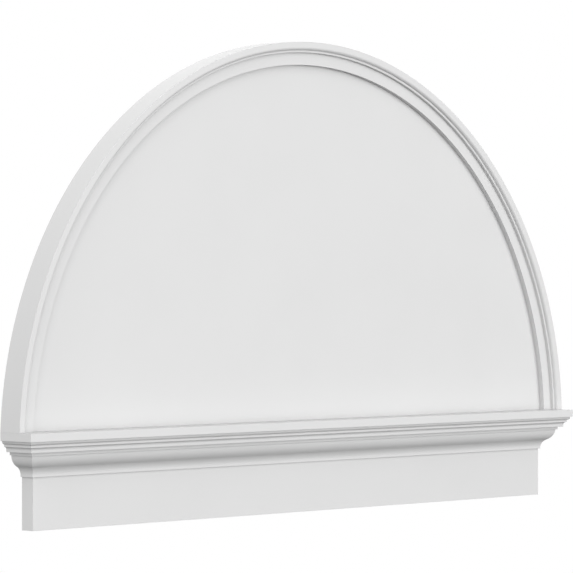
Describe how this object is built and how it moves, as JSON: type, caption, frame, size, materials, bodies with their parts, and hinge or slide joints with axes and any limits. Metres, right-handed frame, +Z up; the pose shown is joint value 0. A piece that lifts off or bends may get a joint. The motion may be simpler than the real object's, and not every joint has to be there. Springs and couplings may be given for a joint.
{
  "type": "pvc pediment",
  "caption": "White half-round pediment: a flat sunk field in a moulded rim, standing on a frieze board with a mitred crown moulding, fixed to a wall over a door or window.",
  "frame": {"origin": "centre of the rim's circle on the wall plane, 27 mm below the cap's top, on the back of the frieze board", "axes": "+X along the trim to the right as seen from the front, +Y into the wall, so the front faces -Y, +Z up"},
  "size_m": [1.3196, 0.0702, 0.7867],
  "materials": {
    "pvc_board": "smooth white cellular PVC sheet, satin",
    "pvc_moulding": "milled white cellular PVC, satin"
  },
  "bodies": {
    "root": {"tympanum_panel": "pvc_board", "arch_moulding": "pvc_moulding", "frieze_board": "pvc_board", "crown_front": "pvc_moulding", "crown_return_left": "pvc_moulding", "crown_return_right": "pvc_moulding"}
  },
  "joints": []
}
